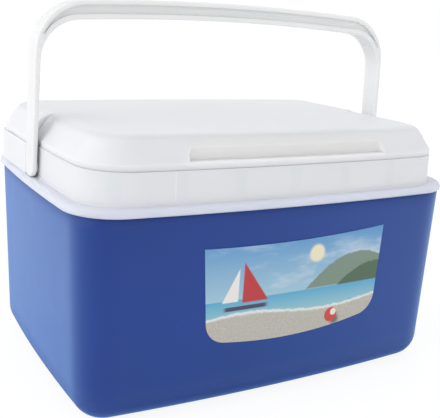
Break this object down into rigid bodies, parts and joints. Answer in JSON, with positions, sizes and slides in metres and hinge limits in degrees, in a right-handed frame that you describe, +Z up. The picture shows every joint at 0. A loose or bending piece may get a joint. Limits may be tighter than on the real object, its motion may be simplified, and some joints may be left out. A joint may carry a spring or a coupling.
{
  "type": "insulated carrier box",
  "caption": "Foam-insulated carry box for keeping contents cold: bowed rectangular tub, overhanging rim, lift-off plug lid with a front finger grip, and a bail handle that folds forward.",
  "frame": {"origin": "middle of the underside, on the plane the box stands on", "axes": "+X along the box's length, +Y to the back (the label is on the -Y front), +Z up"},
  "size_m": [0.3274, 0.2372, 0.2868],
  "materials": {
    "shell_plastic": "smooth satin blue polypropylene",
    "rim_plastic": "smooth white polypropylene",
    "foam": "rigid closed-cell foam",
    "label_film": null,
    "lid_plastic": "satin white polypropylene",
    "handle_plastic": "smooth white polypropylene"
  },
  "bodies": {
    "tub": {"outer_shell": "shell_plastic", "rim_liner": "rim_plastic", "body_insulation": "foam", "front_label": "label_film"},
    "lid": {"lid_cover": "lid_plastic", "lid_liner": "rim_plastic", "lid_insulation": "foam"},
    "handle": {"carry_handle": "handle_plastic"}
  },
  "joints": [
    {"name": "lid_lift", "type": "slide", "parent": "tub", "child": "lid", "axis": [0, 0, 1], "range_m": [0, 0.03]},
    {"name": "handle_fold", "type": "hinge", "parent": "tub", "child": "handle", "pos_m": [0, -0.0022, 0.1635], "axis": [1, 0, 0], "range_deg": [0, 90]}
  ]
}
